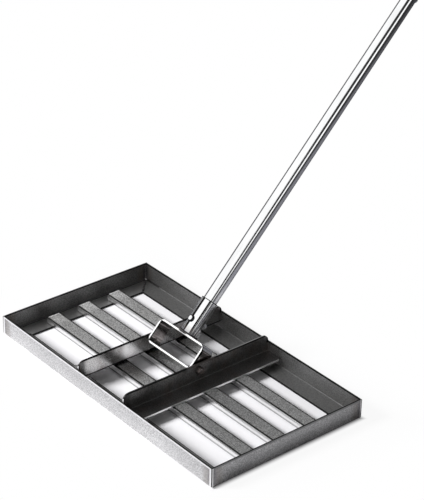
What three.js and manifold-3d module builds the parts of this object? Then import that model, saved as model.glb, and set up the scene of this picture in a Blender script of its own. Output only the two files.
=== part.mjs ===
// Lawn leveling rake: a flat welded frame of folded steel with three slats, and a long tube handle that
// swings on two bolts between a pair of cross brackets.
// Millimetres, +Z up, +X along the head, +Y to the rear, where the handle leans.
// The origin is the middle of the front rail's underside, on the ground.
import * as THREE from 'three';
import { mergeVertices } from 'three/addons/utils/BufferGeometryUtils.js';
import Module from 'manifold-3d';

const wasm = await Module();
wasm.setup();

// Driving dimensions of the head
const headLength = 460;
const headDepth = 250;
const railHeight = 29;
const railFlange = 29;
const railSheet = 2.5;
const railBend = 3.5;
const slatNames = ['front_slat', 'middle_slat', 'rear_slat'];
const slatWidth = 22;
const slatHeight = 10;
const slatSheet = 2.5;
const slatBend = 3;
const slatEndMargin = 17.5;
const slatEdgeGap = 32.5;
const bracketHeight = 27.5;
const bracketFlange = 30;
const bracketSheet = 2.5;
const bracketBend = 3.5;
const bracketGap = 97;
const bracketPairOffset = -4;
const bracketTopCorner = 9;
const bracketFootCorner = 6;

// Driving dimensions of the pivot and the yoke
const pivotDrop = 10;
const pivotSetBack = 1.5;
const spacerThickness = 1.15;
const yokeHeight = 38;
const yokeDepth = 24;
const yokeWall = 3;
const yokeCorner = 9;
const pivotAboveYokeBase = 6.7;
const restElevation = THREE.MathUtils.degToRad(45.8);

// Driving dimensions of the handle
const tubeRadius = 10;
const tubeWall = 1.2;
const lowerTubeLength = 572;
const middleTubeLength = 480;
const upperTubeLength = 470;
const socketWall = 1.9;
const socketLength = 54;
const socketSeam = 1.6;
const socketBoltHeight = 20.7;
const tubeLift = 1.5;
const sleeveWall = 1.5;
const sleeveLength = 110;
const sleeveBoltInset = 25;
const gripLength = 130;
const gripWall = 3.7;
const gripLip = 1.6;
const gripLipLength = 9;
const gripEndRound = 2;
const capPlugLength = 16;
const capFlange = 3.2;
const capEdge = 0.8;

// Fasteners
const pivotBoltRadius = 3;
const pivotBoltHexFlats = 10;
const pivotBoltHeadHeight = 4;
const pivotBoltProud = 1;
const hexChamfer = 0.7;
const washerRadius = 6;
const washerThickness = 1.6;
const crossBoltRadius = 2.5;
const crossBoltHeadRadius = 5;
const crossBoltHeadHeight = 3;
const crossBoltProud = 1.6;
const nutFlats = 8;
const nutHeight = 4.7;
const sleeveBoltRadius = 2;
const sleeveBoltHeadRadius = 3.8;
const sleeveBoltHeadHeight = 2.4;
const sleeveBoltProud = 1.6;
const sleeveNutFlats = 7;
const sleeveNutHeight = 3.2;

// Clearances and overruns
const seatGap = 0.3;
const holeClearance = 0.3;
const cutOverrun = 5;

// Counts that set how finely round shapes are divided; an outline's arc takes two sides a step
const tubeSides = 36;
const boltSides = 24;
const bendSteps = 2;
const cornerSteps = 3;
const domeSteps = 4;

// Materials
function metal(color, roughness) {
  return new THREE.MeshStandardMaterial({ color, roughness, metalness: 1 });
}
const millSteel = () => metal(0x77787a, 0.38);
const brightSteel = () => metal(0xc4c5c8, 0.22);
const tubeAluminium = () => metal(0xd8dadd, 0.25);
const zincSteel = () => metal(0xb4b5b2, 0.35);
const gripRubber = () => new THREE.MeshStandardMaterial({ color: 0x1b1b1d, roughness: 0.85, metalness: 0 });
const capPlastic = () => new THREE.MeshStandardMaterial({ color: 0x222224, roughness: 0.55, metalness: 0 });

// Solids: a closed geometry becomes a solid for joining and cutting, and comes back as a geometry
function solid(geometry) {
  const bare = geometry.clone();
  bare.deleteAttribute('normal');
  bare.deleteAttribute('uv');
  const merged = mergeVertices(bare);
  const mesh = new wasm.Mesh({
    numProp: 3,
    vertProperties: new Float32Array(merged.attributes.position.array),
    triVerts: new Uint32Array(merged.index.array),
  });
  return new wasm.Manifold(mesh);
}

function surface(body) {
  const { vertProperties, triVerts } = body.getMesh();
  const geometry = new THREE.BufferGeometry();
  geometry.setAttribute('position', new THREE.BufferAttribute(vertProperties, 3));
  geometry.setIndex(new THREE.BufferAttribute(triVerts, 1));
  geometry.computeVertexNormals();
  return geometry;
}

function piece(name, body, material) {
  const mesh = new THREE.Mesh(surface(body), material);
  mesh.name = name;
  return mesh;
}

// Axes to lay a flat outline on: its u, its v and the way it is drawn out
const X = new THREE.Vector3(1, 0, 0);
const Y = new THREE.Vector3(0, 1, 0);
const Z = new THREE.Vector3(0, 0, 1);
const back = (axis) => axis.clone().negate();

// Draws a flat outline out by a length, centred on the outline's plane unless it starts there
function drawn(outline, length, u, v, { centred = true, steps = cornerSteps } = {}) {
  const geometry = new THREE.ExtrudeGeometry(outline, { depth: length, bevelEnabled: false, curveSegments: steps });
  if (centred) geometry.translate(0, 0, -length / 2);
  const w = new THREE.Vector3().crossVectors(u, v);
  geometry.applyMatrix4(new THREE.Matrix4().makeBasis(u, v, w));
  return geometry;
}

function polygon(points) {
  return new THREE.Shape(points.map(([u, v]) => new THREE.Vector2(u, v)));
}

// An angle section folded from sheet: the wall stands on v, the flange lies on u
function angleSection(flange, wall, sheet, bend) {
  const inner = Math.max(bend - sheet, 0);
  const outline = new THREE.Shape();
  outline.moveTo(bend, 0);
  outline.lineTo(flange, 0);
  outline.lineTo(flange, sheet);
  outline.lineTo(sheet + inner, sheet);
  outline.absarc(sheet + inner, sheet + inner, inner, -Math.PI / 2, -Math.PI, true);
  outline.lineTo(sheet, wall);
  outline.lineTo(0, wall);
  outline.lineTo(0, bend);
  outline.absarc(bend, bend, bend, Math.PI, 1.5 * Math.PI, false);
  return outline;
}

// A rectangle centred on u, from v = low to v = high, with its corners rounded
function roundedRectangle(width, low, high, lowCorner, highCorner, Path = THREE.Shape) {
  const side = width / 2;
  const outline = new Path();
  outline.moveTo(-side, low + lowCorner);
  outline.absarc(-side + lowCorner, low + lowCorner, lowCorner, Math.PI, 1.5 * Math.PI, false);
  outline.absarc(side - lowCorner, low + lowCorner, lowCorner, -Math.PI / 2, 0, false);
  outline.absarc(side - highCorner, high - highCorner, highCorner, 0, Math.PI / 2, false);
  outline.absarc(-side + highCorner, high - highCorner, highCorner, Math.PI / 2, Math.PI, false);
  outline.closePath();
  return outline;
}

function ringSection(outer, inner) {
  const outline = new THREE.Shape();
  outline.absarc(0, 0, outer, 0, 2 * Math.PI, false);
  const bore = new THREE.Path();
  bore.absarc(0, 0, inner, 0, 2 * Math.PI, true);
  outline.holes.push(bore);
  return outline;
}

// A straight tube standing on z = 0
function tube(outer, inner, length) {
  return solid(drawn(ringSection(outer, inner), length, X, Y, { centred: false, steps: tubeSides / 2 }));
}

// A washer centred on x = 0, lying square to X
function washer(outer, inner, thickness) {
  return solid(drawn(ringSection(outer, inner), thickness, Y, Z, { steps: boltSides / 2 }));
}

// A turned shape from half its profile, radius against height up Z, starting and ending on the axis
function turned(profile, sides) {
  const points = profile.map(([radius, height]) => new THREE.Vector2(radius, height));
  const geometry = new THREE.LatheGeometry(points, sides);
  geometry.applyMatrix4(new THREE.Matrix4().makeBasis(Y, Z, X));
  return solid(geometry);
}

// A round rod up Z from one height to another
function rod(radius, low, high, sides = boltSides) {
  return turned([[0, low], [radius, low], [radius, high], [0, high]], sides);
}

function hexagon(flats) {
  const corner = flats / Math.sqrt(3);
  const turns = [0, 1, 2, 3, 4, 5].map((step) => (step * Math.PI) / 3);
  return polygon(turns.map((angle) => [corner * Math.cos(angle), corner * Math.sin(angle)]));
}

// A hex head or nut blank up Z from z = 0, its far edge chamfered
function hexBlank(flats, height) {
  const corner = flats / Math.sqrt(3);
  const prism = solid(drawn(hexagon(flats), height, X, Y, { centred: false }));
  const envelope = turned(
    [[0, 0], [corner, 0], [corner, height - hexChamfer], [flats / 2, height], [0, height]],
    boltSides,
  );
  return prism.intersect(envelope);
}

// A low domed head up Z from z = 0
function domeHead(radius, height) {
  const profile = [[0, 0], [radius, 0], [radius, height / 3]];
  for (let step = 1; step <= domeSteps; step += 1) {
    const angle = (step / domeSteps) * (Math.PI / 2);
    profile.push([radius * Math.cos(angle), height / 3 + (height * 2 * Math.sin(angle)) / 3]);
  }
  profile[profile.length - 1][0] = 0;
  return turned(profile, boltSides);
}

// Turns a body built up Z so that it points along another axis
function along(body, direction) {
  const turn = new THREE.Quaternion().setFromUnitVectors(Z, direction);
  const geometry = surface(body).applyQuaternion(turn);
  return solid(geometry);
}

function moved(body, x, y, z) {
  return solid(surface(body).translate(x, y, z));
}

// Places worked out from the driving dimensions
const headCentreY = headDepth / 2 - railFlange / 2;
const wallToWall = headDepth - 2 * railSheet;
const slatTop = railSheet + slatHeight;
const clearDepth = headDepth - 2 * railFlange;
const slatPitch = (clearDepth - 2 * slatEdgeGap - slatWidth) / (slatNames.length - 1);
const bracketTop = slatTop + bracketHeight;
const bracketFace = bracketGap / 2;
const pivotHeight = bracketTop - pivotDrop;
const pivotHole = pivotBoltRadius + holeClearance;
const yokeWidth = bracketGap - 2 * (spacerThickness + 2 * seatGap);
const yokeBase = -pivotAboveYokeBase;
const yokeTop = yokeBase + yokeHeight;

// The head is built round its own centre on the ground
const head = new THREE.Group();
head.position.set(0, headCentreY, 0);

// Front and rear rails run the full length; their flanges are mitred to meet the end rails' flanges
function longRail() {
  const section = angleSection(railFlange, railHeight, railSheet, railBend);
  let rail = solid(drawn(section, headLength, Y, Z, { steps: bendSteps }));
  const half = headLength / 2;
  for (const end of [-1, 1]) {
    const mitre = polygon([
      [end * (half - railSheet), railSheet],
      [end * (half + cutOverrun), railSheet],
      [end * (half + cutOverrun), railFlange + cutOverrun],
      [end * (half - railFlange - cutOverrun), railFlange + cutOverrun],
    ]);
    rail = rail.subtract(solid(drawn(mitre, 2 * (railHeight + cutOverrun), X, Y)));
  }
  return rail;
}

// End rails fit between the long rails' walls
function endRail() {
  const section = angleSection(railFlange, railHeight, railSheet, railBend);
  let rail = solid(drawn(section, wallToWall, X, Z, { steps: bendSteps }));
  const half = wallToWall / 2 - seatGap * Math.SQRT2;
  for (const end of [-1, 1]) {
    const mitre = polygon([
      [railSheet, end * half],
      [railSheet, end * (half + cutOverrun)],
      [railFlange + cutOverrun, end * (half + cutOverrun)],
      [railFlange + cutOverrun, end * (half + railSheet - railFlange - cutOverrun)],
    ]);
    rail = rail.subtract(solid(drawn(mitre, 2 * (railHeight + cutOverrun), X, Y)));
  }
  return rail;
}

const frontRail = piece('front_rail', longRail(), millSteel());
frontRail.position.y = -headDepth / 2;
const rearRail = piece('rear_rail', longRail(), millSteel());
rearRail.position.y = headDepth / 2;
rearRail.rotation.z = Math.PI;
const leftEndRail = piece('left_end_rail', endRail(), millSteel());
leftEndRail.position.x = -headLength / 2;
const rightEndRail = piece('right_end_rail', endRail(), millSteel());
rightEndRail.position.x = headLength / 2;
rightEndRail.rotation.z = Math.PI;
head.add(frontRail, rearRail, leftEndRail, rightEndRail);

// Slats: shallow angles lying over the end flanges, leg to the front, evenly spaced
function slat() {
  const section = angleSection(slatWidth, slatHeight, slatSheet, slatBend);
  return solid(drawn(section, headLength - 2 * slatEndMargin, Y, back(Z), { steps: bendSteps }));
}

slatNames.forEach((name, index) => {
  const strip = piece(name, slat(), millSteel());
  const centreY = (index - (slatNames.length - 1) / 2) * slatPitch;
  strip.position.set(0, centreY - slatWidth / 2, slatTop);
  head.add(strip);
});

// Cross brackets: angles from rail to rail over the slats, flange outwards, pivot hole in the wall
function crossBracket(outward) {
  const section = angleSection(bracketFlange, bracketHeight, bracketSheet, bracketBend);
  const side = X.clone().multiplyScalar(outward);
  const blank = solid(drawn(section, wallToWall, side, Z, { steps: bendSteps }));
  const wallOutline = roundedRectangle(wallToWall, 0, bracketHeight, 0, bracketTopCorner);
  const reach = 2 * (bracketFlange + cutOverrun);
  const wallShape = solid(drawn(wallOutline, reach, Y, Z));
  const footOutline = roundedRectangle(wallToWall, -bracketFlange, bracketFlange, bracketFootCorner, bracketFootCorner);
  const footShape = solid(drawn(footOutline, 2 * (bracketHeight + cutOverrun), Y, back(X)));
  const drill = along(rod(pivotHole, -reach, reach), X);
  const hole = moved(drill, 0, pivotSetBack, bracketHeight - pivotDrop);
  return blank.intersect(wallShape).intersect(footShape).subtract(hole);
}

for (const [name, outward] of [['left_cross_bracket', -1], ['right_cross_bracket', 1]]) {
  const bracket = piece(name, crossBracket(outward), millSteel());
  bracket.position.set(bracketPairOffset + outward * bracketFace, 0, slatTop);
  head.add(bracket);
}

// Everything on the pivot's axis is placed from the middle of the gap between the brackets
const pivot = new THREE.Group();
pivot.position.set(bracketPairOffset, pivotSetBack, pivotHeight);
head.add(pivot);

const washerPlace = bracketFace + bracketSheet + seatGap + washerThickness / 2;
const spacerPlace = bracketFace - seatGap - spacerThickness / 2;
for (const [name, side] of [['left', -1], ['right', 1]]) {
  const outerWasher = piece(`${name}_bolt_washer`, washer(washerRadius, pivotHole, washerThickness), zincSteel());
  outerWasher.position.x = side * washerPlace;
  const spacer = piece(`${name}_pivot_spacer`, washer(washerRadius, pivotHole, spacerThickness), zincSteel());
  spacer.position.x = side * spacerPlace;
  pivot.add(outerWasher, spacer);
}

// The handle is built upright on the pivot's axis and leans to the rear
const handle = new THREE.Group();
handle.rotation.x = restElevation - Math.PI / 2;
pivot.add(handle);

// Yoke: a short length of rectangular tube lying on its side, drilled through both cheeks
function yoke() {
  const outline = roundedRectangle(yokeWidth, yokeBase, yokeTop, yokeCorner, yokeCorner);
  const innerCorner = yokeCorner - yokeWall;
  const opening = roundedRectangle(
    yokeWidth - 2 * yokeWall,
    yokeBase + yokeWall,
    yokeTop - yokeWall,
    innerCorner,
    innerCorner,
    THREE.Path,
  );
  outline.holes.push(opening);
  const loop = solid(drawn(outline, yokeDepth, X, Z));
  return loop.subtract(along(rod(pivotHole, -yokeWidth, yokeWidth), X));
}
handle.add(piece('yoke_loop', yoke(), brightSteel()));

// Pivot bolts: hex head outside the bracket, shank through bracket and cheek
const boltSeat = bracketFace + bracketSheet + washerThickness + 2 * seatGap;
const boltEnd = yokeWidth / 2 - yokeWall - pivotBoltProud;
for (const [name, side] of [['left_pivot_bolt', -1], ['right_pivot_bolt', 1]]) {
  const hex = moved(hexBlank(pivotBoltHexFlats, pivotBoltHeadHeight), 0, 0, boltSeat);
  const bolt = rod(pivotBoltRadius, boltEnd, boltSeat + pivotBoltHeadHeight / 2).add(hex);
  handle.add(piece(name, along(bolt, X.clone().multiplyScalar(side)), zincSteel()));
}

// Socket: a tube rolled from sheet, standing on the yoke with its open seam in front, and a cross bolt that
// holds the handle tube
const socketFoot = yokeTop + seatGap;
const socketBore = tubeRadius + seatGap;
const socketRadius = socketBore + socketWall;
const socketBoltPlace = yokeTop + socketBoltHeight;
const crossHole = crossBoltRadius + holeClearance;

// A hole through a tube from front to rear at a height up the handle
function crossDrill(radius, reach, height) {
  return moved(along(rod(radius, -reach, reach), Y), 0, 0, height);
}

const socketHole = crossDrill(crossHole, socketRadius + cutOverrun, socketBoltPlace - socketFoot);
const seamOutline = polygon([
  [-socketSeam / 2, 0],
  [socketSeam / 2, 0],
  [socketSeam / 2, -socketRadius - cutOverrun],
  [-socketSeam / 2, -socketRadius - cutOverrun],
]);
const seamCut = solid(drawn(seamOutline, 2 * (socketLength + cutOverrun), X, Y));
const socketBody = tube(socketRadius, socketBore, socketLength).subtract(socketHole).subtract(seamCut);
const socket = piece('socket_tube', socketBody, brightSteel());
socket.position.z = socketFoot;
handle.add(socket);

// A bolt along Y with its domed head in front, at -Y, seated on a round tube
function crossBolt(radius, headRadius, headHeight, seat, end) {
  const headBody = moved(domeHead(headRadius, headHeight), 0, 0, seat);
  return along(rod(radius, -end, seat + headHeight / 3).add(headBody), back(Y));
}

// A nut along Y, behind the tube, at +Y
function crossNut(flats, height, hole, seat) {
  const blank = hexBlank(flats, height).subtract(rod(hole, -cutOverrun, height + cutOverrun));
  return along(moved(blank, 0, 0, seat), Y);
}

const socketSeat = socketRadius + seatGap;
const socketNutSeat = socketSeat + washerThickness + seatGap;
const socketBolt = piece(
  'socket_bolt',
  crossBolt(
    crossBoltRadius,
    crossBoltHeadRadius,
    crossBoltHeadHeight,
    socketSeat,
    socketNutSeat + nutHeight + crossBoltProud,
  ),
  zincSteel(),
);
const socketWasher = piece(
  'socket_washer',
  along(moved(tube(crossBoltHeadRadius, crossHole, washerThickness), 0, 0, socketSeat), Y),
  zincSteel(),
);
const socketNut = piece('socket_nut', crossNut(nutFlats, nutHeight, crossHole, socketNutSeat), zincSteel());
for (const fastener of [socketBolt, socketWasher, socketNut]) {
  fastener.position.z = socketBoltPlace;
  handle.add(fastener);
}

// Handle tubes, end to end with a fine gap, and the sleeves inside their joints
const tubeBore = tubeRadius - tubeWall;
const sleeveRadius = tubeBore - seatGap;
const sleeveHole = sleeveBoltRadius + holeClearance;
const lowerFoot = socketFoot + tubeLift;
const middleFoot = lowerFoot + lowerTubeLength + seatGap;
const upperFoot = middleFoot + middleTubeLength + seatGap;
const handleTop = upperFoot + upperTubeLength;
const lowerJoint = middleFoot - seatGap / 2;
const upperJoint = upperFoot - seatGap / 2;

function handleTube(name, foot, length, holes) {
  let body = tube(tubeRadius, tubeBore, length);
  for (const [radius, place] of holes) {
    body = body.subtract(crossDrill(radius, tubeRadius + cutOverrun, place - foot));
  }
  const mesh = piece(name, body, tubeAluminium());
  mesh.position.z = foot;
  handle.add(mesh);
}

handleTube('lower_handle_tube', lowerFoot, lowerTubeLength, [
  [crossHole, socketBoltPlace],
  [sleeveHole, lowerJoint - sleeveBoltInset],
]);
handleTube('middle_handle_tube', middleFoot, middleTubeLength, [
  [sleeveHole, lowerJoint + sleeveBoltInset],
  [sleeveHole, upperJoint - sleeveBoltInset],
]);
handleTube('upper_handle_tube', upperFoot, upperTubeLength, [
  [sleeveHole, upperJoint + sleeveBoltInset],
]);

const sleeveSeat = tubeRadius + seatGap;
const sleeveBoltEnd = sleeveSeat + sleeveNutHeight + sleeveBoltProud;
for (const [name, joint] of [['lower_sleeve', lowerJoint], ['upper_sleeve', upperJoint]]) {
  let body = tube(sleeveRadius, sleeveRadius - sleeveWall, sleeveLength);
  for (const side of [-1, 1]) {
    const place = sleeveLength / 2 + side * sleeveBoltInset;
    body = body.subtract(crossDrill(sleeveHole, tubeRadius, place));
  }
  const sleeve = piece(name, body, tubeAluminium());
  sleeve.position.z = joint - sleeveLength / 2;
  handle.add(sleeve);
  for (const [number, side] of [[1, -1], [2, 1]]) {
    const screw = crossBolt(sleeveBoltRadius, sleeveBoltHeadRadius, sleeveBoltHeadHeight, sleeveSeat, sleeveBoltEnd);
    const nut = crossNut(sleeveNutFlats, sleeveNutHeight, sleeveHole, sleeveSeat);
    const bolt = piece(`${name}_bolt_${number}`, screw, zincSteel());
    const backNut = piece(`${name}_nut_${number}`, nut, zincSteel());
    bolt.position.z = joint + side * sleeveBoltInset;
    backNut.position.z = bolt.position.z;
    handle.add(bolt, backNut);
  }
}

// Grip: a rubber sleeve pushed over the top of the handle, with a raised lip at each end
const gripBore = tubeRadius + seatGap;
const gripRadius = gripBore + gripWall;
const lipRadius = gripRadius + gripLip;
const gripOutline = new THREE.Shape();
gripOutline.moveTo(gripBore, 0);
gripOutline.lineTo(lipRadius - gripEndRound, 0);
gripOutline.absarc(lipRadius - gripEndRound, gripEndRound, gripEndRound, -Math.PI / 2, 0, false);
gripOutline.lineTo(lipRadius, gripLipLength - gripLip);
gripOutline.lineTo(gripRadius, gripLipLength);
gripOutline.lineTo(gripRadius, gripLength - gripLipLength);
gripOutline.lineTo(lipRadius, gripLength - gripLipLength + gripLip);
gripOutline.absarc(lipRadius - gripEndRound, gripLength - gripEndRound, gripEndRound, 0, Math.PI / 2, false);
gripOutline.lineTo(gripBore, gripLength);
gripOutline.closePath();
const gripProfile = gripOutline.getPoints(bendSteps).map((point) => [point.x, point.y]);
const grip = piece('handle_grip', turned(gripProfile, tubeSides), gripRubber());
grip.position.z = handleTop - gripLength;
handle.add(grip);

// End cap: a plug in the tube under a flange as wide as the grip's body
const capBody = turned(
  [
    [0, -capPlugLength],
    [sleeveRadius - capEdge, -capPlugLength],
    [sleeveRadius, -capPlugLength + capEdge],
    [sleeveRadius, seatGap],
    [gripRadius, seatGap],
    [gripRadius, seatGap + capFlange - capEdge],
    [gripRadius - capEdge, seatGap + capFlange],
    [0, seatGap + capFlange],
  ],
  tubeSides,
);
const endCap = piece('end_cap', capBody, capPlastic());
endCap.position.z = handleTop;
handle.add(endCap);

const rake = new THREE.Group();
rake.add(head);

export default rake;
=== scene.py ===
from math import asin, cos, pi, radians, sin

import bmesh
import bpy
from mathutils import Matrix, Vector


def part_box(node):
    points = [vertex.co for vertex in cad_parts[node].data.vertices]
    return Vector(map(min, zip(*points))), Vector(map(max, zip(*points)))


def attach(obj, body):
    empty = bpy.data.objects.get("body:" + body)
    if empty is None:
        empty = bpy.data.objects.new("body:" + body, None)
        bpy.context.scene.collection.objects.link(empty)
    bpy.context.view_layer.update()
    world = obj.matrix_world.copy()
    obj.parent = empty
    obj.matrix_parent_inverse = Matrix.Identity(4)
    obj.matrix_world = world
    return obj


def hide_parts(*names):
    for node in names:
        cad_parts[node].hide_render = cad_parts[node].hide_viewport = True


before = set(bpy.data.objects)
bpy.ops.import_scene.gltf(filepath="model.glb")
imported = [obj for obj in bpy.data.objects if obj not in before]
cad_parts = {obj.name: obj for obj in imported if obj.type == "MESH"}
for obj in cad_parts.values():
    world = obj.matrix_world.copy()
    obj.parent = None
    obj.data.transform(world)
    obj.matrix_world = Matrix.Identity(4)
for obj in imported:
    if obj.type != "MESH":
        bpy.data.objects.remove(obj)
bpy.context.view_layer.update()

# Rails
# Four lengths of angle section folded from 2.5 mm mill-finish steel strip, wall up and flange inwards. They
# are mitred and welded at the corners, and the outside of each corner is ground round.


class Wire:
    """An output in a material's node tree, so that shader maths reads as plain sums."""

    def __init__(self, tree, socket=None):
        self.tree = tree
        self.socket = socket

    def node(self, kind, settings=None, sockets=None, output=0):
        """Adds a node: its settings first, then the values or links of its sockets."""
        made = self.tree.nodes.new(kind)
        for name, value in (settings or {}).items():
            setattr(made, name, value)
        for name, value in (sockets or {}).items():
            if isinstance(value, Wire):
                self.tree.links.new(value.socket, made.inputs[name])
            else:
                made.inputs[name].default_value = value
        return Wire(self.tree, made.outputs[output])

    def maths(self, operation, *values):
        """A sum or comparison of plain numbers."""
        return self.node("ShaderNodeMath", {"operation": operation}, dict(enumerate(values)))

    def __add__(self, other):
        return self.maths("ADD", self, other)

    def __mul__(self, other):
        return self.maths("MULTIPLY", self, other)

    def __sub__(self, other):
        return self.maths("SUBTRACT", self, other)

    def __rsub__(self, other):
        return self.maths("SUBTRACT", other, self)

    __radd__ = __add__
    __rmul__ = __mul__

    def fade(self, start, end, low=0.0, high=1.0):
        """Goes smoothly from low to high as this value goes from start to end."""
        sockets = {"Value": self, "From Min": start, "From Max": end, "To Min": low, "To Max": high}
        return self.node("ShaderNodeMapRange", {"interpolation_type": "SMOOTHSTEP"}, sockets)

    def blend(self, first, second):
        """Mixes two colours by this value."""
        return self.node("ShaderNodeMix", {"data_type": "RGBA"}, {0: self, 6: first, 7: second}, output=2)

    def shade(self, colour, low, high):
        """Darkens a colour to low times itself, or lightens it to high times, by this value."""
        level = self.blend(grey(low), grey(high))
        settings = {"data_type": "RGBA", "blend_type": "MULTIPLY"}
        return self.node("ShaderNodeMix", settings, {0: 1.0, 6: colour, 7: level}, output=2)

    def noise(self, scale, detail, roughness):
        """Noise read at this place."""
        sockets = {"Vector": self, "Scale": scale, "Detail": detail, "Roughness": roughness}
        return self.node("ShaderNodeTexNoise", {}, sockets)

    def stretched(self, scale):
        """This place scaled along each axis. A pattern runs out along the axis that is scaled least."""
        return self.node("ShaderNodeMapping", {}, {"Vector": self, "Scale": scale})

    def part(self, axis):
        """One coordinate of this place: 0, 1 or 2 for x, y or z."""
        return self.node("ShaderNodeSeparateXYZ", {}, {0: self}, output=axis)

    def distance(self, point):
        """How far this place is from a point."""
        return self.node("ShaderNodeVectorMath", {"operation": "DISTANCE"}, {0: self, 1: point}, output=1)

    def along(self, way):
        """How far this place or direction goes along a way of length 1."""
        return self.node("ShaderNodeVectorMath", {"operation": "DOT_PRODUCT"}, {0: self, 1: way}, output=1)

    def bump(self, strength, distance):
        """A surface normal raised by this height."""
        return self.node("ShaderNodeBump", {}, {"Height": self, "Strength": strength, "Distance": distance})


def grey(level, warmth=0.0):
    """A neutral colour, a little warmer or cooler."""
    return (level * (1 + warmth), level, level * (1 - warmth), 1)


def new_surface(name, metallic=1):
    """A material, bare metal unless told otherwise, with its shader and its place in the part."""
    material = bpy.data.materials.new(name)
    material.use_nodes = True
    shader = material.node_tree.nodes["Principled BSDF"]
    shader.inputs["Metallic"].default_value = metallic
    place = Wire(material.node_tree).node("ShaderNodeTexCoord", output="Object")
    return material, shader, place


def feed(shader, **wires):
    """Links each wire to the shader's socket of that name."""
    for name, wire in wires.items():
        wire.tree.links.new(wire.socket, shader.inputs[name.replace("_", " ")])


def mill_steel(
    name,
    grain,
    heated,
    tones,
    dull,
    skin,
    edges=None,
    grit=0.31,
    grit_from=-0.002,
    bare=None,
):
    """Rolled steel: cloudy grey with fine grain along the strip, and brown and blue tints round the welds.

    The skin lies under the grit and the tints, and the edges over them. Grit shows above a height.
    """
    metal, shader, place = new_surface(name)
    lines = place.stretched(grain).noise(1, 4, 0.65)
    clouds = place.noise(13, 4, 0.5)
    specks = place.noise(1300, 2, 0.6)
    tone = clouds * 0.5 + lines * 0.35 + specks * 0.15
    colour = tone.fade(0.32, 0.68).blend(grey(tones[0], 0.012), grey(tones[1]))
    colour = skin(place, tone, colour)
    gritty = place.noise(610, 2, 0.6).fade(0.35, 0.65).shade(colour, 1 - grit, 1 + grit * 0.6)
    colour = place.part(2).fade(grit_from, grit_from + 0.0004).blend(colour, gritty)
    brown = (0.19, 0.155, 0.13, 1)
    blue = (0.09, 0.095, 0.13, 1)
    squash = 0.35
    flat = place.stretched((1, 1, squash))
    welds, reach = heated
    for weld in welds:
        gap = flat.distance((weld.x, weld.y, weld.z * squash)) + lines * (reach * 0.4)
        colour = gap.fade(reach * 1.1, reach * 0.6, 0, 0.42).blend(colour, brown)
        colour = gap.fade(reach * 0.6, reach * 0.3, 0, 0.45).blend(colour, blue)
    if edges:
        colour = edges(place, colour)
    height = lines * 0.6 + specks * 0.4
    waves = place.noise(38, 2, 0.5)
    normal = (height + waves * 3).bump(0.35, 0.00012)
    roughness = clouds.fade(0.3, 0.7, dull, dull + 0.12) + lines * 0.06
    feed(shader, Base_Color=colour, Roughness=roughness, Normal=normal)
    if bare:
        feed(shader, Metallic=bare(place))
    return metal


def softened(node, edge):
    """A copy of a CAD node with its triangles joined into whole faces and its sharp edges rounded."""
    work = bmesh.new()
    work.from_mesh(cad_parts[node].data)
    bmesh.ops.remove_doubles(work, verts=work.verts, dist=1e-6)
    bmesh.ops.dissolve_limit(work, angle_limit=radians(1), verts=work.verts, edges=work.edges)
    sharp = [e for e in work.edges if e.calc_face_angle(0) > radians(34)]
    bmesh.ops.bevel(
        work,
        geom=sharp,
        offset=edge,
        affect="EDGES",
        segments=2,
        profile=0.5,
        material=-1,
        clamp_overlap=True,
    )
    return work


def placed(work, name, metal, body, nodes=()):
    """Makes a piece of a finished shape, in place of the CAD nodes that it stands for."""
    for face in work.faces:
        face.smooth = True
    for edge in work.edges:
        edge.smooth = edge.calc_face_angle(0) < radians(50)
    mesh = bpy.data.meshes.new(name)
    work.to_mesh(mesh)
    work.free()
    mesh.materials.append(metal)
    piece = bpy.data.objects.new(name, mesh)
    bpy.context.scene.collection.objects.link(piece)
    piece.modifiers.new("even_shading", "WEIGHTED_NORMAL").keep_sharp = True
    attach(piece, body)
    if nodes:
        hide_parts(*nodes)
    return piece


def dressed(node, edge, finish, metal, body):
    """Puts a softened copy with its finish in place of one CAD node."""
    placed(softened(node, edge), f"{node}_{finish}", metal, body, [node])


head_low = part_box("front_rail")[0]
head_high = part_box("rear_rail")[1]
head_centre = (head_low + head_high) / 2
half_width = head_high.x - head_centre.x
half_depth = head_high.y - head_centre.y
strip = 0.0025
to_side = half_width - strip
to_end = half_depth - strip
mid_wall = 0.015
corners = [
    Vector((head_centre.x + side * to_side, head_centre.y + end * to_end, mid_wall))
    for side in (-1, 1)
    for end in (-1, 1)
]
along_head = (45, 1700, 1700)
across_head = (1700, 45, 1700)
corner_heat = (corners, 0.022)


def from_outside(place):
    """How far a place lies beyond the head's sides, and beyond its front and rear: less than 0 inside."""
    beside = place.maths("ABSOLUTE", place.part(0)) - half_width
    beyond = place.maths("ABSOLUTE", place.part(1) - head_centre.y) - half_depth
    return beside, beyond


def linished(dark, light):
    """The outside of a rail is lighter than its inside, which keeps the dark mill scale: partly rubbed,
    partly painted light.
    """

    def skin(place, tone, scale):
        outermost = place.maths("MAXIMUM", *from_outside(place))
        brightened = tone.fade(0.35, 0.65).blend(grey(dark), grey(light))
        return outermost.fade(-0.0011, -0.0007).blend(scale, brightened)

    return skin


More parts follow.
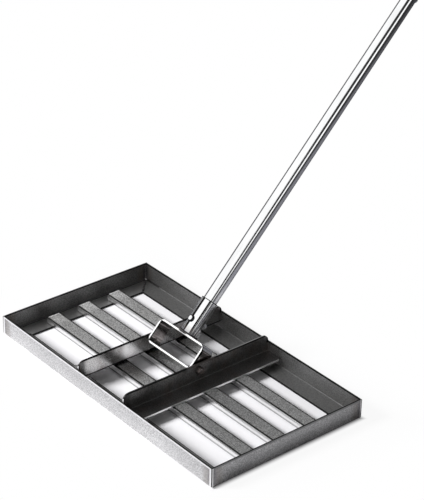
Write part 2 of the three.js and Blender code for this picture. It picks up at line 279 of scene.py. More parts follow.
def rail_edges(lip, foot, flange, corner_highlight):
    """Painted light and shade: set tones for a rail's lip, foot and flange, a painted highlight down its
    corners.

    Painted shade makes the low fold and the cut edges dark.
    """

    def edges(place, colour):
        z = place.part(2)
        beside, beyond = from_outside(place)
        outermost = place.maths("MAXIMUM", beside, beyond)
        nearest = place.maths("MINIMUM", beside, beyond)
        outer = outermost.fade(-0.0007, -0.0005)
        on_flange = outermost.fade(-0.0022, -0.0027) * z.fade(0.005, 0.004)
        # Painted light and shade: the flange, the foot and the lip are each moved toward a set tone.
        colour = (on_flange * 0.5).blend(colour, grey(flange))
        colour = (outer * z.fade(0.0022, 0.0010)).blend(colour, grey(foot))
        colour = (outer * z.fade(0.0266, 0.0272)).blend(colour, grey(lip))
        # Painted shade in the low fold at the left.
        in_fold = outermost.fade(-0.0046, -0.0040) * outermost.fade(-0.0022, -0.0025)
        low_left = z.fade(0.0052, 0.0044) * place.part(0).fade(-0.19, -0.2)
        colour = (in_fold * low_left * 0.75).blend(colour, grey(0.06))
        # A painted highlight down each outer corner, then a painted dark line at its edge.
        colour = nearest.fade(-0.0048, -0.0040, 0, corner_highlight).blend(colour, grey(0.98))
        colour = nearest.fade(-0.0014, -0.0008).blend(colour, grey(0.05))
        # Painted shade along the cut top edge and along the flange's inner edge.
        on_top = z.fade(0.0276, 0.0282) * outermost.fade(-0.0004, -0.0007)
        colour = on_top.blend(colour, grey(0.03))
        return outermost.fade(-0.0279, -0.0284).blend(colour, grey(0.03))

    return edges


# Each rail's grain and dullness, and the tones of its scale, of its outside and of its edges. The tones
# differ from rail to rail as painted light and shade, each side lighter or darker by how it is lit.
for rail, grain, dull, scale_tones, outside_tones, edge_tones in (
    ("front_rail", along_head, 0.38, (0.25, 0.42), (0.60, 0.78), (1.0, 0.45, 0.3, 1)),
    ("rear_rail", along_head, 0.48, (0.32, 0.48), (0.60, 0.80), (0.60, 0.20, 0.26, 1)),
    ("left_end_rail", across_head, 0.38, (0.18, 0.27), (0.50, 0.70), (0.50, 0.20, 1.0, 1)),
    ("right_end_rail", across_head, 0.38, (0.26, 0.36), (0.46, 0.65), (0.30, 0.04, 0.3, 0)),
):
    skin = linished(*outside_tones)
    edges = rail_edges(*edge_tones)
    steel = mill_steel(rail + "_strip", grain, corner_heat, scale_tones, dull, skin, edges)
    dressed(rail, 0.0006, "steel", steel, "head")

# Slats
# Three shallow angle sections along the head, lying on the end rails' flanges with the leg to the front.
# Each is tacked down at its ends.
slats = ("front_slat", "middle_slat", "rear_slat")
slat_ends = []
for slat in slats:
    low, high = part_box(slat)
    for x in (low.x, high.x):
        slat_ends.append(Vector((x, (low.y + high.y) / 2, low.z)))
slat_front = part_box("front_slat")[0].y
slat_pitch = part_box("middle_slat")[0].y - slat_front
slat_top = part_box("front_slat")[1].z
slat_flat = slat_top - 0.0009


def slat_skin(place, tone, steel):
    """Painted shade: darker to the right, one brown-grey shadow patch, and a grey line at the leg's foot.

    A painted reflection makes the leg bright. Painted dark lines run along the bend and the sheared rear
    edge.
    """
    x = place.part(0)
    y = place.part(1)
    z = place.part(2)
    behind = place.maths("WRAP", y - slat_front, slat_pitch - 0.001, -0.001)
    # Painted shade: darker toward the right.
    steel = (x + tone * 0.1).fade(-0.06, 0.16).blend(steel, grey(0.61))
    # A painted shadow across the front slat between the brackets, brown-grey.
    squash = 0.6
    middle = (-0.026 * squash, slat_front + 0.012, slat_top)
    from_shadow_patch = place.stretched((squash, 1, 1)).distance(middle) + tone * 0.008
    steel = from_shadow_patch.fade(0.022, 0.008, 0, 0.6).blend(steel, (0.19, 0.17, 0.16, 1))
    # A painted reflection makes the leg light, over a painted shadow line at its foot.
    on_leg = behind.fade(0.0032, 0.0026) * z.fade(0.0118, 0.0108)
    steel = (on_leg * z.fade(0.0045, 0.0062)).blend(steel, grey(0.95))
    steel = (on_leg * z.fade(0.0052, 0.0040)).blend(steel, grey(0.42))
    # A painted dark line along the bend, where it would mirror dark.
    at_bend = behind.fade(0.0004, 0.0008) * behind.fade(0.0030, 0.0023) * z.fade(0.0108, 0.0114)
    steel = at_bend.blend(steel, grey(0.02))
    # Painted shade along the sheared rear edge.
    return behind.fade(0.0198, 0.0206, 0, 0.95).blend(steel, grey(0.03))


def slat_bare(place):
    """Bare metal but for a pale, dull film on top of the left ends."""
    from_end = place.part(0) - slat_ends[0].x
    film = from_end.fade(0.030, 0.010, 0, 0.28) + from_end.fade(0.0020, 0.0012, 0, 0.55)
    return 1 - place.part(2).fade(slat_flat, slat_flat + 0.0005) * film


slat_steel = mill_steel(
    "slat_steel",
    along_head,
    heated=(slat_ends, 0.0045),
    tones=(0.74, 0.94),
    dull=0.22,
    skin=slat_skin,
    grit=0.42,
    grit_from=slat_flat,
    bare=slat_bare,
)
for slat in slats:
    dressed(slat, 0.0003, "steel", slat_steel, "head")

# Cross brackets
# Two angle sections from rail to rail over the slats, with rounded upper corners and a bolt hole in the
# middle of each wall. Their ends are welded to the front and rear rails.
bracket_low, bracket_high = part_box("right_cross_bracket")
right_wall = bracket_low.x
left_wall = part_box("left_cross_bracket")[1].x
weld_middle = 0.021
bracket_ends = [
    Vector((wall, y, weld_middle))
    for wall in (left_wall, right_wall)
    for y in (bracket_low.y, bracket_high.y)
]
# Centre of the painted highlight on the left bracket's wall.
highlight_spot = (left_wall, 0.0705, 0.028)
yoke_from = 0.092
yoke_to = 0.138


def browned(place, tone, steel):
    """Patches of thin brown scale, and dark scale at the front end."""
    patches = place.noise(60, 2, 0.5) * 0.6 + tone * 0.4
    steel = patches.fade(0.44, 0.66, 0, 0.55).blend(steel, (0.25, 0.205, 0.19, 1))
    return place.part(1).fade(bracket_low.y + 0.014, bracket_low.y + 0.007, 0, 0.88).blend(steel, grey(0.1))


def bracket_edges(place, colour):
    """Painted shade as dark lines along the top and up both ends, and painted highlights on the cut faces.

    The left wall has a painted highlight spot, painted shade over its rear half and a painted shadow line at
    its foot. The right one's top line is brown-grey beside the yoke, its top corner has a painted highlight
    behind the yoke, and its flange is in painted shade.
    """
    x = place.part(0)
    y = place.part(1)
    z = place.part(2)
    on_left = x.fade(left_wall - 0.0030, left_wall - 0.0026) * x.fade(0, left_wall + 0.001)
    on_right = x.fade(right_wall - 0.001, right_wall)
    # Painted shade over the left wall's rear half, then a painted highlight spot on it.
    colour = (on_left * y.fade(0.084, 0.098)).shade(colour, 1, 0.72)
    brightened = place.distance(highlight_spot).fade(0.018, 0.006, 0, 0.6)
    colour = brightened.blend(colour, grey(0.95))
    # Painted shade: dark lines along the top and up both ends.
    near_top = z.fade(bracket_high.z - 0.0022, bracket_high.z - 0.0012)
    front_end = y.fade(bracket_low.y + 0.0026, bracket_low.y + 0.0016)
    rear_end = y.fade(bracket_high.y - 0.0034, bracket_high.y - 0.0026) * z.fade(0.027, 0.029)
    outline = place.maths("MAXIMUM", near_top, place.maths("MAXIMUM", front_end, rear_end))
    colour = outline.blend(colour, grey(0.03))
    # A painted shadow line at the left wall's foot.
    left_foot = on_left * z.fade(bracket_low.z + 0.0040, bracket_low.z + 0.0035)
    colour = left_foot.blend(colour, grey(0.02))
    # Beside the yoke the painted dark top line is a lighter brown-grey.
    beside_yoke = y.fade(yoke_from - 0.004, yoke_from + 0.004) * y.fade(yoke_to + 0.004, yoke_to - 0.004)
    colour = (near_top * on_right * beside_yoke).blend(colour, (0.20, 0.18, 0.175, 1))
    # A painted highlight along the right wall's top corner behind the yoke.
    at_corner = x.fade(right_wall + 0.0019, right_wall + 0.0013)
    on_top = z.fade(bracket_high.z - 0.0005, bracket_high.z - 0.0003)
    top_highlight = on_right * at_corner * on_top * y.fade(0.130, 0.150)
    colour = top_highlight.blend(colour, grey(0.62))
    # Painted shade on the right bracket's flange, and painted highlights on the front cut face and the
    # flange's edge.
    colour = x.fade(right_wall + 0.0055, right_wall + 0.0215).shade(colour, 1, 0.55)
    colour = y.fade(bracket_low.y + 0.0008, bracket_low.y + 0.0004).blend(colour, grey(0.98))
    return x.fade(bracket_high.x - 0.0009, bracket_high.x - 0.0005).blend(colour, grey(0.9))


# The right bracket's darker tones are painted shade: its wall mirrors its own shaded flange.
for bracket, tones, dull in (
    ("left_cross_bracket", (0.49, 0.69), 0.18),
    ("right_cross_bracket", (0.20, 0.31), 0.34),
):
    heated = (bracket_ends, 0.008)
    steel = mill_steel(bracket + "_strip", across_head, heated, tones, dull, browned, bracket_edges)
    dressed(bracket, 0.0005, "steel", steel, "head")

# Welds on the head
# Small fillet welds laid by hand: up the inside of each corner, along the flanges' mitres, up the cross
# brackets' ends and across the slats' ends.


def weld_metal():
    """Weld bead: dark steel, between the blue and the straw colour of the heat."""
    metal, shader, place = new_surface("weld_bead")
    patches = place.noise(420, 3, 0.6)
    colour = patches.fade(0.35, 0.65).blend((0.04, 0.041, 0.050, 1), (0.14, 0.13, 0.125, 1))
    feed(shader, Base_Color=colour, Roughness=patches.fade(0.3, 0.7, 0.25, 0.5))
    return metal


bead_steel = weld_metal()


def bead(name, start, end, radius, body="head", pitch=0.0014, metal=bead_steel):
    """A straight weld bead: a rod with a ripple for each dab of filler."""
    work = bmesh.new()
    run = end - start
    steps = max(8, int(run.length / pitch) * 4)
    ring = bmesh.ops.create_circle(work, cap_ends=True, radius=radius * 0.5, segments=10)["verts"]
    facing = run.to_track_quat("Z", "Y").to_matrix().to_4x4()
    for step in range(1, steps + 1):
        top = [f for f in work.faces if all(v in ring for v in f.verts)]
        new = bmesh.ops.extrude_face_region(work, geom=top)["geom"]
        ring = [v for v in new if isinstance(v, bmesh.types.BMVert)]
        ripple = 1 + 0.14 * cos(step * pi / 2) if step < steps else 0.5
        centre = sum((v.co for v in ring), Vector()) / len(ring)
        middle = Vector((0, 0, centre.z))
        for vert in ring:
            vert.co = middle + (vert.co - middle).normalized() * radius * ripple
            vert.co.z += run.length / steps
    bmesh.ops.recalc_face_normals(work, faces=work.faces)
    bmesh.ops.transform(work, matrix=Matrix.Translation(start) @ facing, verts=work.verts)
    placed(work, name, metal, body)


for number, corner in enumerate(corners, 1):
    inward = Vector((-1 if corner.x > 0 else 1, 1 if corner.y < head_centre.y else -1, 0))
    foot = corner + inward * 0.0003
    foot.z = 0.004
    bead(f"corner_weld_{number}", foot, Vector((foot.x, foot.y, 0.0282)), 0.0016)
    seam = Vector((corner.x, corner.y, 0.0021))
    bead(f"mitre_weld_{number}", seam + inward * 0.002, seam + inward * 0.0255, 0.0015)
for number, end in enumerate(bracket_ends, 1):
    inset = 0.0006 if end.y < head_centre.y else -0.0006
    aside = 0.0004 if end.x > 0 else -0.0004
    foot = Vector((end.x + aside, end.y + inset, 0.0165))
    bead(f"bracket_weld_{number}", foot, Vector((foot.x, foot.y, 0.029)), 0.0015)
for number, end in enumerate(slat_ends, 1):
    across = Vector((0, 0.006, 0.0002))
    bead(f"slat_tack_{number}", end - across, end + across, 0.0014)

# Pivot
# Two hex bolts from outside, each with a plain washer under the head and a thin spacer between the bracket
# and the yoke. They are plain steel, darkened and a little brown with rust.


def tarnished_steel():
    """Dark steel with thin brown rust and a few bare specks."""
    metal, shader, place = new_surface("tarnished_steel")
    patches = place.noise(330, 3, 0.65)
    colour = patches.fade(0.4, 0.6).blend((0.08, 0.072, 0.070, 1), (0.21, 0.175, 0.165, 1))
    colour = place.noise(900, 2, 0.5).fade(0.60, 0.68).blend(colour, (0.62, 0.60, 0.58, 1))
    feed(shader, Base_Color=colour, Roughness=patches.fade(0.3, 0.7, 0.30, 0.48))
    return metal


tarnished = tarnished_steel()
for side in ("left", "right"):
    for fitting, body in (("pivot_bolt", "handle"), ("bolt_washer", "head"), ("pivot_spacer", "head")):
        dressed(f"{side}_{fitting}", 0.0002, "steel", tarnished, body)

# Yoke
# A short length of rectangular steel tube lying on its side, open at front and back, with well rounded
# corners. Its top and foot are bright. It swings between the cross brackets on the pivot bolts.
pivot = (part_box("left_pivot_spacer")[0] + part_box("right_pivot_spacer")[1]) / 2
lean_angle = radians(-44.2)
lean = Matrix.Translation(pivot) @ Matrix.Rotation(lean_angle, 4, "X")
yoke_width = 0.0935
yoke_depth = 0.024
yoke_base = -0.0067
yoke_top = 0.0313
yoke_wall = 0.003
yoke_corner = 0.009
socket_weld = lean @ Vector((0, 0, yoke_top))
weld_heat = 0.021


def up_handle(place):
    """A place as it lies to the handle, with the pivot at 0 and z up the handle."""
    sockets = {"Vector": place, "Location": pivot, "Rotation": (lean_angle, 0, 0)}
    return place.node("ShaderNodeMapping", {"vector_type": "TEXTURE"}, sockets)


def bright_steel(name, tones, marked):
    """Polished steel: near white, with faint drawing lines up the handle, smears, and tints by the weld."""
    metal, shader, place = new_surface(name)
    upright = up_handle(place)
    lines = upright.stretched((1500, 1500, 30)).noise(1, 3, 0.6)
    smears = upright.noise(45, 3, 0.55)
    colour = (lines * 0.4 + smears * 0.6).fade(0.3, 0.7).blend(grey(tones[0]), grey(tones[1], -0.01))
    colour = marked(upright, smears, colour)
    straw = (0.34, 0.30, 0.27, 1)
    blue = (0.16, 0.17, 0.21, 1)
    gap = place.distance(socket_weld) + smears * (weld_heat * 0.3)
    colour = gap.fade(weld_heat, weld_heat * 0.8, 0, 0.30).blend(colour, straw)
    colour = gap.fade(weld_heat * 0.85, weld_heat * 0.7, 0, 0.35).blend(colour, blue)
    normal = (lines + smears * 2).bump(0.3, 0.00008)
    feed(shader, Base_Color=colour, Roughness=smears.fade(0.3, 0.7, 0.10, 0.18), Normal=normal)
    return metal


def shaded_inside(upright, smears, bright):
    """The inside and the outer sides are painted dark as shade, a little brown and streaked.

    A painted black line runs round just behind the front rim, and the rim's face has a painted highlight
    between painted dark edges.
    """
    x = upright.part(0)
    height = upright.part(2)
    mid_height = (yoke_top + yoke_base) / 2
    from_side = yoke_width / 2 - x.maths("ABSOLUTE", x)
    from_end = (yoke_top - yoke_base) / 2 - x.maths("ABSOLUTE", height - mid_height)
    depth = x.maths("MINIMUM", from_side, from_end)
    streaks = upright.stretched((300, 20, 300)).noise(1, 3, 0.6)
    streaked = (streaks * 0.6 + smears * 0.4).fade(0.38, 0.62)
    dull = streaked.blend((0.13, 0.118, 0.115, 1), (0.36, 0.33, 0.32, 1))
    outer_side = from_side.fade(0.0006, 0.0003)
    # Painted shade inside and on the outer sides.
    bright = x.maths("MAXIMUM", outer_side, depth.fade(0.0025, 0.0029)).blend(bright, dull)
    from_rim = upright.part(1) + yoke_depth / 2
    # A painted black line round just behind the front rim.
    bright = (from_rim - outer_side * 0.0016).fade(0.0026, 0.0018).blend(bright, grey(0.02))
    # The rim's face: a painted highlight between painted dark edges.
    core = depth.fade(0.0001, 0.0003) * depth.fade(0.0030, 0.0028)
    return from_rim.fade(0.00045, 0.00025).blend(bright, core.blend(grey(0.02), grey(0.98)))


def bored(piece, cutter):
    """Cuts one shape out of a piece for good."""
    tool_mesh = bpy.data.meshes.new("drill")
    cutter.to_mesh(tool_mesh)
    cutter.free()
    tool = bpy.data.objects.new("drill", tool_mesh)
    bpy.context.scene.collection.objects.link(tool)
    cut = piece.modifiers.new("bore", "BOOLEAN")
    cut.object = tool
    bpy.context.view_layer.update()
    whole = piece.evaluated_get(bpy.context.evaluated_depsgraph_get())
    mesh = bpy.data.meshes.new_from_object(whole)
    piece.modifiers.remove(cut)
    piece.data = mesh
    bpy.data.objects.remove(tool)


work = bmesh.new()
for inset in (0, yoke_wall):
    across = yoke_width / 2 - inset
    low = yoke_base + inset
    high = yoke_top - inset
    turns = ((-across, low), (across, low), (across, high), (-across, high))
    rim = [work.verts.new((x, -yoke_depth / 2, z)) for x, z in turns]
    work.faces.new(rim)
    bmesh.ops.bevel(
        work,
        geom=rim,
        offset=yoke_corner - inset,
        affect="VERTICES",
        segments=8,
        profile=0.5,
        material=-1,
        clamp_overlap=False,
    )
bmesh.ops.delete(work, geom=work.faces[:], context="FACES_ONLY")
bmesh.ops.bridge_loops(work, edges=work.edges[:])
drawn = bmesh.ops.extrude_face_region(work, geom=work.faces[:])["geom"]
rear_rim = [v for v in drawn if isinstance(v, bmesh.types.BMVert)]
bmesh.ops.translate(work, vec=(0, yoke_depth, 0), verts=rear_rim)
bmesh.ops.recalc_face_normals(work, faces=work.faces)
rims = [e for e in work.edges if e.calc_face_angle(0) > radians(60)]
bmesh.ops.bevel(
    work,
    geom=rims,
    offset=0.0005,
    affect="EDGES",
    segments=3,
    profile=0.5,
    material=-1,
    clamp_overlap=True,
)
bmesh.ops.transform(work, matrix=lean, verts=work.verts)
yoke_steel = bright_steel("yoke_steel", (0.62, 0.82), shaded_inside)
yoke = placed(work, "yoke_bright", yoke_steel, "handle", ["yoke_loop"])
bolt_hole = 0.0034
drill = bmesh.new()
bmesh.ops.create_cone(drill, cap_ends=True, segments=48, radius1=bolt_hole, radius2=bolt_hole, depth=0.12)
sideways = Matrix.Translation(pivot) @ Matrix.Rotation(pi / 2, 4, "Y")
bmesh.ops.transform(drill, matrix=sideways, verts=drill.verts)
bored(yoke, drill)

# Socket
# A tube rolled from sheet, with its open seam in front, standing on the yoke and welded to it all round. A
# tack beside its foot holds it too. The handle tube stands in it.
socket_foot = yoke_top + 0.0003
socket_mouth = socket_foot + 0.054
socket_bore = 0.0103
socket_radius = 0.0122
half_gap = 0.0008
dark_line_place = (0.0086, -0.0087, 0)


def painted_dark_lines(upright, smears, bright):
    """Painted shade in black along the open seam in front and round the mouth, and a black line down the
    right.
    """
    x = upright.part(0)
    # Painted shade along the open seam.
    beside_seam = x.maths("ABSOLUTE", x + half_gap) + smears * 0.0004
    seam = beside_seam.fade(0.0026, 0.0021) * upright.part(1).fade(-0.008, -0.009)
    # Painted shade round the mouth, where the tube goes in.
    mouth = upright.part(2).fade(socket_mouth - 0.0014, socket_mouth - 0.0009)
    # A black line painted down the right side.
    line = upright.stretched((1, 1, 0)).distance(dark_line_place).fade(0.0012, 0.0008)
    return x.maths("MAXIMUM", line, x.maths("MAXIMUM", seam, mouth)).blend(bright, grey(0.02))


def spun(outline, start=0.0, turn=2 * pi, steps=96):
    """A closed outline, radius against height, spun round the handle's axis and leant with the handle."""
    work = bmesh.new()
    rim = [work.verts.new((radius, 0, height)) for radius, height in outline]
    whole = abs(turn - 2 * pi) < 1e-6
    if whole:
        geom = rim + [work.edges.new(pair) for pair in zip(rim, rim[1:] + rim[:1])]
    else:
        face = work.faces.new(rim)
        geom = rim + list(face.edges) + [face]
        bmesh.ops.rotate(work, cent=(0, 0, 0), matrix=Matrix.Rotation(start, 3, "Z"), verts=rim)
    bmesh.ops.spin(
        work,
        geom=geom,
        cent=(0, 0, 0),
        axis=(0, 0, 1),
        angle=turn,
        steps=steps,
        use_merge=whole,
    )
    bmesh.ops.remove_doubles(work, verts=work.verts, dist=1e-7)
    bmesh.ops.recalc_face_normals(work, faces=work.faces)
    bmesh.ops.transform(work, matrix=lean, verts=work.verts)
    return work


def sleeve_outline(inner, outer, low, high):
    """The outline of a tube's wall with its ends' edges broken."""
    edge = 0.0003
    return [
        (inner, low + edge),
        (inner + edge, low),
        (outer - edge, low),
        (outer, low + edge),
        (outer, high - edge),
        (outer - edge, high),
        (inner + edge, high),
        (inner, high - edge),
    ]


def zinc_plate(name, dull, foot=None):
    """Bright zinc: patchy white metal, with painted shade in black where a part meets its seat."""
    metal, shader, place = new_surface(name)
    patches = place.noise(260, 3, 0.6)
    colour = patches.fade(0.3, 0.7).blend((0.70, 0.71, 0.72, 1), (0.86, 0.87, 0.88, 1))
    if foot:
        # Painted shade: black round the foot, where the part meets its seat.
        seat, outward = foot
        gap = place.node("ShaderNodeVectorMath", {"operation": "SUBTRACT"}, {0: place, 1: seat})
        rise = gap.along(outward)
        from_seat = place.distance(seat)
        aside = from_seat * from_seat - rise * rise
        rim = place.maths("MAXIMUM", rise.fade(0.0013, 0.0008), aside.fade(0.0027 ** 2, 0.0034 ** 2))
        colour = rim.blend(colour, grey(0.02))
    feed(shader, Base_Color=colour, Roughness=patches.fade(0.3, 0.7, dull, dull + 0.1))
    return metal


seam_half = asin(half_gap / socket_radius)
outline = sleeve_outline(socket_bore, socket_radius, socket_foot, socket_mouth)
work = spun(outline, -pi / 2 + seam_half, 2 * pi - 2 * seam_half)
socket_steel = bright_steel("socket_steel", (0.74, 0.92), painted_dark_lines)
placed(work, "socket_bright", socket_steel, "handle", ["socket_tube"])

weld_run = socket_radius + 0.0004
weld_radius = 0.0018
dabs = 50
work = bmesh.new()
ring = bmesh.ops.create_circle(work, radius=weld_radius, segments=10)["verts"]
turn_up = Matrix.Translation((weld_run, 0, socket_foot)) @ Matrix.Rotation(pi / 2, 4, "X")
bmesh.ops.transform(work, matrix=turn_up, verts=ring)
bmesh.ops.spin(
    work,
    geom=work.verts[:] + work.edges[:],
    cent=(0, 0, 0),
    axis=(0, 0, 1),
    angle=2 * pi,
    steps=4 * dabs,
    use_merge=True,
)
bmesh.ops.remove_doubles(work, verts=work.verts, dist=1e-7)
bmesh.ops.recalc_face_normals(work, faces=work.faces)
for vert in work.verts:
    angle = Vector((vert.co.x, vert.co.y)).angle_signed(Vector((1, 0)), 0)
    swell = 1 + 0.12 * sin(dabs * angle)
    core = Vector((vert.co.x, vert.co.y, 0)).normalized() * weld_run
    core.z = socket_foot
    vert.co = core + (vert.co - core) * swell
bmesh.ops.transform(work, matrix=lean, verts=work.verts)
placed(work, "socket_weld", bead_steel, "handle")

tack_foot = Vector((0.0103, 0.0085, socket_foot))
tack_top = tack_foot + Vector((0, 0, 0.0105))
bead(
    "socket_tack",
    lean @ tack_foot,
    lean @ tack_top,
    0.0017,
    body="handle",
    pitch=0.003,
    metal=zinc_plate("tack_metal", 0.5),
)

# Cross bolt of the socket
# A domed bolt from the front, with a washer and nut behind, holding the handle tube in the socket. All three
# are zinc plated.
forward = lean.to_3x3() @ Vector((0, -1, 0))
bolt_height = 0.052
seat_reach = 0.0125
bolt_seat = lean @ Vector((0, -seat_reach, bolt_height))
bolt_zinc = zinc_plate("bolt_zinc", 0.10, (bolt_seat, forward))
zinc = zinc_plate("nut_zinc", 0.34)
for node, metal in (("socket_bolt", bolt_zinc), ("socket_washer", zinc), ("socket_nut", zinc)):
    dressed(node, 0.0002, "zinc", metal, "handle")

# Handle tubes
# Three lengths of bright drawn aluminium tube end to end, with square-cut ends.


def drawn_aluminium():
    """Bright drawn tube: fine lines up the handle and faint smears, and painted shade in black inside the
    socket.
    """
    metal, shader, place = new_surface("drawn_aluminium")
    upright = up_handle(place)
    lines = upright.stretched((1400, 1400, 14)).noise(1, 3, 0.6)
    smears = upright.stretched((60, 60, 18)).noise(1, 3, 0.55)
    colour = (lines * 0.5 + smears * 0.5).fade(0.3, 0.7).blend(grey(0.72, -0.006), grey(0.90, -0.010))
    # Painted shade: black below the socket's mouth.
    shade_in_socket = upright.part(2).fade(socket_mouth + 0.0002, socket_mouth - 0.0004)
    colour = shade_in_socket.blend(colour, grey(0.03))
    normal = lines.bump(0.15, 0.00004)
    # Dims what the tube mirrors at a glancing angle, which keeps its outlines dark.
    shader.inputs["Specular Tint"].default_value = (0.25, 0.25, 0.28, 1)
    feed(shader, Base_Color=colour, Roughness=smears.fade(0.3, 0.7, 0.07, 0.12), Normal=normal)
    return metal


aluminium = drawn_aluminium()
tube_bore = 0.0088
tube_radius = 0.010
tube_ends = {
    "lower_handle_tube": (0.0331, 0.6051),
    "middle_handle_tube": (0.6054, 1.0854),
    "upper_handle_tube": (1.0857, 1.5557),
}
for node, (low, high) in tube_ends.items():
    work = spun(sleeve_outline(tube_bore, tube_radius, low, high))
    placed(work, node + "_drawn", aluminium, "handle", [node])

# Joints of the handle
# An inner sleeve bridges each joint, held by two small domed screws with nuts behind.
for joint in ("lower", "upper"):
    dressed(f"{joint}_sleeve", 0.0003, "drawn", aluminium, "handle")
    for fitting in ("bolt_1", "bolt_2", "nut_1", "nut_2"):
        dressed(f"{joint}_sleeve_{fitting}", 0.0002, "zinc", zinc, "handle")

# Grip
# A black rubber sleeve pushed over the top of the handle, with a raised lip at each end and shallow grooves
# round it for the hand.


def grip_rubber():
    """Matte black rubber with fine pores and a little dust."""
    rubber, shader, place = new_surface("grip_rubber", metallic=0)
    pores = place.noise(2200, 2, 0.6)
    dust = place.noise(60, 4, 0.6)
    colour = dust.fade(0.4, 0.75).blend((0.012, 0.012, 0.013, 1), (0.035, 0.034, 0.033, 1))
    roughness = dust.fade(0.3, 0.7, 0.62, 0.82)
    feed(shader, Base_Color=colour, Roughness=roughness, Normal=pores.bump(0.4, 0.0001))
    return rubber


grip_top = tube_ends["upper_handle_tube"][1]
grip_foot = grip_top - 0.130
grip_bore = 0.0103
lip = 0.0156
lip_edge = 0.001
body_radius = 0.014
grooves = 19
groove_pitch = 0.0056
groove_floor = body_radius - 0.0007
outline = [
    (grip_bore, grip_foot),
    (lip - lip_edge, grip_foot),
    (lip, grip_foot + lip_edge),
    (lip, grip_foot + 0.0074),
    (body_radius, grip_foot + 0.009),
]
for number in range(grooves):
    height = grip_foot + 0.0115 + number * groove_pitch
    outline += [
        (body_radius, height),
        (groove_floor, height + 0.0006),
        (groove_floor, height + 0.0018),
        (body_radius, height + 0.0024),
    ]
outline += [
    (body_radius, grip_top - 0.009),
    (lip, grip_top - 0.0074),
    (lip, grip_top - lip_edge),
    (lip - lip_edge, grip_top),
    (grip_bore, grip_top),
]
work = spun(outline, steps=72)
placed(work, "handle_grip_rubber", grip_rubber(), "handle", ["handle_grip"])

# End cap
# A moulded plastic plug pressed into the top of the tube, its flange as wide as the grip.


def cap_plastic():
    """Black plastic with a fine moulded grain, duller in patches."""
    plastic, shader, place = new_surface("cap_plastic", metallic=0)
    grain = place.noise(1500, 2, 0.6)
    patches = place.noise(80, 3, 0.5)
    colour = patches.fade(0.3, 0.7).blend((0.018, 0.018, 0.020, 1), (0.032, 0.032, 0.034, 1))
    roughness = patches.fade(0.3, 0.7, 0.42, 0.55)
    feed(shader, Base_Color=colour, Roughness=roughness, Normal=grain.bump(0.3, 0.00006))
    return plastic


plug_radius = 0.0085
plug_foot = grip_top - 0.016
plug_edge = 0.0008
cap_foot = grip_top + 0.0003
cap_top = cap_foot + 0.0032
cap_edge = 0.0016
cap_hollow = cap_top - 0.0006
outline = [
    (0.0, plug_foot),
    (plug_radius - plug_edge, plug_foot),
    (plug_radius, plug_foot + plug_edge),
    (plug_radius, cap_foot),
    (body_radius - 0.0003, cap_foot),
    (body_radius, cap_foot + 0.0003),
]
for step in range(5):
    angle = step / 4 * pi / 2
    radius = body_radius - cap_edge + cap_edge * cos(angle)
    outline.append((radius, cap_top - cap_edge + cap_edge * sin(angle)))
outline += [(0.009, cap_top), (0.008, cap_hollow), (0.0, cap_hollow)]
work = spun(outline, steps=72)
placed(work, "end_cap_plastic", cap_plastic(), "handle", ["end_cap"])

# Studio
# A plain white floor that runs into a white background, and soft light from the front left and above. The
# bright metal also mirrors pale cards in front, at the right and behind, in a dim room.
floor_work = bmesh.new()
bmesh.ops.create_grid(floor_work, x_segments=1, y_segments=1, size=4)
floor_mesh = bpy.data.meshes.new("floor")
floor_work.to_mesh(floor_mesh)
floor_work.free()
floor = bpy.data.objects.new("floor", floor_mesh)
floor.location = (0, 0, -0.0003)
bpy.context.scene.collection.objects.link(floor)

paper = bpy.data.materials.new("floor_paper")
paper.use_nodes = True
tree = paper.node_tree
tree.nodes.clear()
base = Wire(tree)
seen = base.node("ShaderNodeLightPath", output="Is Camera Ray")
mirrored = base.node("ShaderNodeLightPath", output="Is Glossy Ray")
through = base.node("ShaderNodeLightPath", output="Is Transmission Ray")
place = base.node("ShaderNodeTexCoord", output="Object")
y = place.part(1)
outside = base.maths("MAXIMUM", *from_outside(place))
# The floor shows its shadows within the head and close round it, and is plain white further out.
glow_share = outside.fade(-0.004, 0.007, 0.02, 0.93) + outside.fade(0.007, 0.10, 0, 0.07)
# Metal mirrors it white in front of the head, and dim behind.
far_white = mirrored * y.fade(-0.06, -0.5, 0, 0.6)
shown = base.maths("MAXIMUM", seen, base.maths("MAXIMUM", far_white, through))
back_half = mirrored * y.fade(-0.5, -0.06)
shade = (back_half * outside.fade(0.01, 0.11)).blend((0.925, 0.918, 0.94, 1), (0.40, 0.40, 0.44, 1))
shade = (back_half * outside.fade(0.45, 1.2)).blend(shade, (0.17, 0.17, 0.18, 1))
lit = base.node("ShaderNodeBsdfDiffuse", {}, {"Color": shade})
glow = base.node("ShaderNodeEmission", {}, {"Color": (1, 1, 1, 1), "Strength": 1.0})
both = base.node("ShaderNodeMixShader", {}, {0: shown * glow_share, 1: lit, 2: glow})
out = tree.nodes.new("ShaderNodeOutputMaterial")
tree.links.new(both.socket, out.inputs["Surface"])
floor_mesh.materials.append(paper)

world = bpy.data.worlds.new("studio")
bpy.context.scene.world = world
world.use_nodes = True
tree = world.node_tree
tree.nodes.clear()
base = Wire(tree)
direction = base.node("ShaderNodeTexCoord", output="Generated")


def lobe(towards, start, end, strength):
    """Soft light from a part of the sky round one direction."""
    return direction.along(Vector(towards).normalized()).fade(start, end, 0, strength)


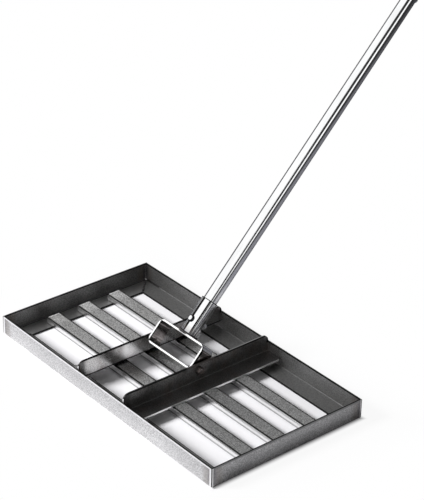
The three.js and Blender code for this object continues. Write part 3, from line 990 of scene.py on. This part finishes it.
soft_box = lobe((-0.35, -0.72, 0.6), 0.56, 0.68, 1.2)
edge_card = lobe((0.0, -0.96, -0.28), 0.275, 0.315, 1.0) * lobe((0.62, -0.5, 0.6), 0.80, 0.90, 1.2)
side_strip = lobe((0.955, -0.03, 0.28), 0.976, 0.993, 1.35)
back_wall = lobe((-0.75, 0.45, 0.48), 0.6, 0.95, 0.34)
rear_card = lobe((0.50, 0.76, 0.42), 0.945, 0.985, 0.6)
cards = base.maths("MAXIMUM", soft_box, edge_card) + back_wall + rear_card + side_strip
mirrored = base.node("ShaderNodeLightPath", output="Is Glossy Ray")
sky = cards * (mirrored * 0.94 + 0.06) + mirrored * 0.025 + 0.015
seen = base.node("ShaderNodeLightPath", output="Is Camera Ray")
strength = base.node("ShaderNodeMix", {"data_type": "FLOAT"}, {0: seen, 2: sky, 3: 1.0}, output=0)
light = base.node("ShaderNodeBackground", {}, {"Color": (1, 1, 1, 1), "Strength": strength})
out = tree.nodes.new("ShaderNodeOutputWorld")
tree.links.new(light.socket, out.inputs["Surface"])


def lamp(name, towards, distance, size, watts):
    """A soft box that shines on the head."""
    data = bpy.data.lights.new(name, "AREA")
    data.shape = "DISK"
    data.size = size
    data.energy = watts
    made = bpy.data.objects.new(name, data)
    aim = Vector(towards).normalized()
    made.location = head_centre + aim * distance
    made.rotation_mode = "QUATERNION"
    made.rotation_quaternion = aim.to_track_quat("Z", "Y")
    made.visible_glossy = False
    bpy.context.scene.collection.objects.link(made)


lamp("key_light", (-0.34, -0.69, 0.58), 2.6, 0.8, 102)
lamp("top_light", (0.0, -0.1, 1.0), 2.4, 1.2, 2)

# Camera
# Looks down at the head's front right corner from a little over two metres.
focal_pixels = 1778.873
picture_height = 500
sensor = 36
camera_data = bpy.data.cameras.new("camera")
camera_data.sensor_width = sensor
camera_data.lens = focal_pixels / picture_height * sensor
camera_data.clip_start = 0.05
camera = bpy.data.objects.new("camera", camera_data)
standpoint = Vector((1.58874, -1.13945, 1.29826))
right = Vector((0.63066, 0.77596, 0.01277))
up = Vector((-0.37972, 0.29419, 0.87708))
back = right.cross(up)
turn = Matrix((right, up, back)).transposed().to_4x4()
camera.matrix_world = Matrix.Translation(standpoint) @ turn
bpy.context.scene.collection.objects.link(camera)
bpy.context.scene.camera = camera
bpy.context.scene.view_settings.view_transform = "Standard"
